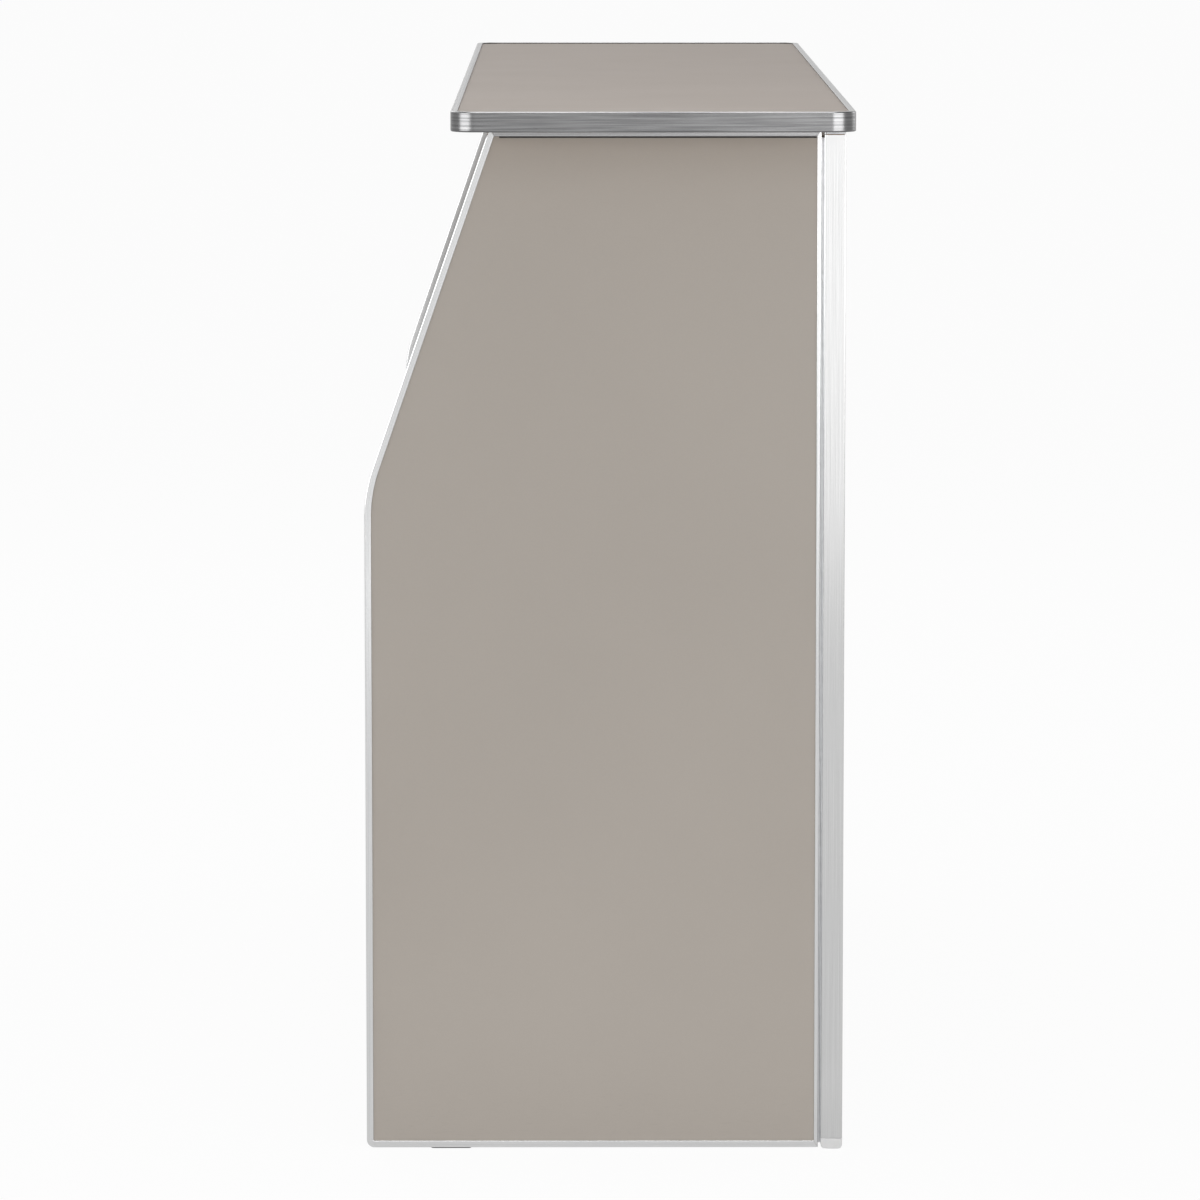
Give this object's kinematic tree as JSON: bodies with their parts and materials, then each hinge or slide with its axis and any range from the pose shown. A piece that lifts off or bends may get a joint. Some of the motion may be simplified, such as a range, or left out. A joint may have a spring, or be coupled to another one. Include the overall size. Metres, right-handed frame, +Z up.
{
  "type": "folding portable bar",
  "caption": "Free-standing folding bar counter: laminate front panel, hinged end panels that fold in behind it, lift-off top, fold-up shelves on swing-out brackets.",
  "frame": {"origin": "on the floor under the middle of the bar's bounding box", "axes": "X along the bar, -Y the customers' side, +Z up"},
  "size_m": [1.829, 0.4954, 1.067],
  "materials": {
    "laminate": "satin taupe high-pressure laminate",
    "core": "raw medium-density fibreboard",
    "shelf": "laminate-faced shelf board",
    "edging": "satin anodised, brushed along its length",
    "hinge": "nickel-plated steel",
    "foot": "pale grey moulded plastic",
    "catch": "black moulded plastic",
    "glide": "dark rubber pad"
  },
  "bodies": {
    "front_panel": {"front_board": "core", "front_outer_laminate": "laminate", "front_inner_laminate": "laminate", "front_top_channel": "edging", "front_bottom_channel": "edging", "front_left_channel": "edging", "front_right_channel": "edging", "front_left_foot": "foot", "front_right_foot": "foot", "left_hinge_front_leaf": "hinge", "right_hinge_front_leaf": "hinge", "left_hinge_pin": "hinge", "right_hinge_pin": "hinge", "left_locating_dowel": "edging", "right_locating_dowel": "edging", "upper_shelf_wall_leaf": "hinge", "lower_shelf_wall_leaf": "hinge", "upper_shelf_hinge_pin": "hinge", "lower_shelf_hinge_pin": "hinge", "upper_shelf_magnet": "foot", "lower_shelf_magnet": "foot", "upper_left_bracket_plate": "edging", "upper_right_bracket_plate": "edging", "lower_left_bracket_plate": "edging", "lower_right_bracket_plate": "edging"},
    "left_end": {"left_end_board": "core", "left_end_outer_laminate": "laminate", "left_end_inner_laminate": "laminate", "left_end_rear_channel": "edging", "left_end_top_channel": "edging", "left_end_bottom_channel": "edging", "left_end_front_channel": "edging", "left_hinge_end_leaf": "hinge", "left_end_glide": "glide"},
    "right_end": {"right_end_board": "core", "right_end_outer_laminate": "laminate", "right_end_inner_laminate": "laminate", "right_end_rear_channel": "edging", "right_end_top_channel": "edging", "right_end_bottom_channel": "edging", "right_end_front_channel": "edging", "right_hinge_end_leaf": "hinge", "right_end_glide": "glide"},
    "top": {"top_board": "core", "top_laminate": "laminate", "top_edge_band": "edging", "left_catch_post": "hinge", "right_catch_post": "hinge"},
    "left_catch": {"left_turn_catch": "catch"},
    "right_catch": {"right_turn_catch": "catch"},
    "upper_shelf": {"upper_shelf_board": "shelf", "upper_shelf_nosing": "edging", "upper_shelf_leaf": "hinge"},
    "lower_shelf": {"lower_shelf_board": "shelf", "lower_shelf_nosing": "edging", "lower_shelf_leaf": "hinge"},
    "upper_left_bracket_arm": {"upper_left_bracket": "edging"},
    "upper_right_bracket_arm": {"upper_right_bracket": "edging"},
    "lower_left_bracket_arm": {"lower_left_bracket": "edging"},
    "lower_right_bracket_arm": {"lower_right_bracket": "edging"}
  },
  "joints": [
    {"name": "left_end_fold", "type": "hinge", "parent": "front_panel", "child": "left_end", "pos_m": [-0.8139, -0.21565, 0.5], "axis": [0, 0, -1], "range_deg": [0, 90]},
    {"name": "right_end_fold", "type": "hinge", "parent": "front_panel", "child": "right_end", "pos_m": [0.8139, -0.21565, 0.5], "axis": [0, 0, 1], "range_deg": [0, 90]},
    {"name": "top_lift", "type": "slide", "parent": "front_panel", "child": "top", "axis": [0, 0, 1], "range_m": [0, 0.25]},
    {"name": "left_catch_turn", "type": "hinge", "parent": "top", "child": "left_catch", "pos_m": [-0.807, 0.13425, 1.0426], "axis": [0, 0, -1], "range_deg": [0, 90]},
    {"name": "right_catch_turn", "type": "hinge", "parent": "top", "child": "right_catch", "pos_m": [0.807, 0.13425, 1.0426], "axis": [0, 0, 1], "range_deg": [0, 90]},
    {"name": "upper_shelf_fold", "type": "hinge", "parent": "front_panel", "child": "upper_shelf", "pos_m": [0, -0.21665, 0.763], "axis": [1, 0, 0], "range_deg": [0, 90]},
    {"name": "lower_shelf_fold", "type": "hinge", "parent": "front_panel", "child": "lower_shelf", "pos_m": [0, -0.21665, 0.303], "axis": [1, 0, 0], "range_deg": [0, 90]},
    {"name": "upper_left_bracket_swing", "type": "hinge", "parent": "front_panel", "child": "upper_left_bracket_arm", "pos_m": [-0.3, -0.21115, 0.67], "axis": [0, 0, -1], "range_deg": [0, 90]},
    {"name": "upper_right_bracket_swing", "type": "hinge", "parent": "front_panel", "child": "upper_right_bracket_arm", "pos_m": [0.3, -0.21115, 0.67], "axis": [0, 0, 1], "range_deg": [0, 90]},
    {"name": "lower_left_bracket_swing", "type": "hinge", "parent": "front_panel", "child": "lower_left_bracket_arm", "pos_m": [-0.3, -0.21115, 0.21], "axis": [0, 0, -1], "range_deg": [0, 90]},
    {"name": "lower_right_bracket_swing", "type": "hinge", "parent": "front_panel", "child": "lower_right_bracket_arm", "pos_m": [0.3, -0.21115, 0.21], "axis": [0, 0, 1], "range_deg": [0, 90]}
  ]
}
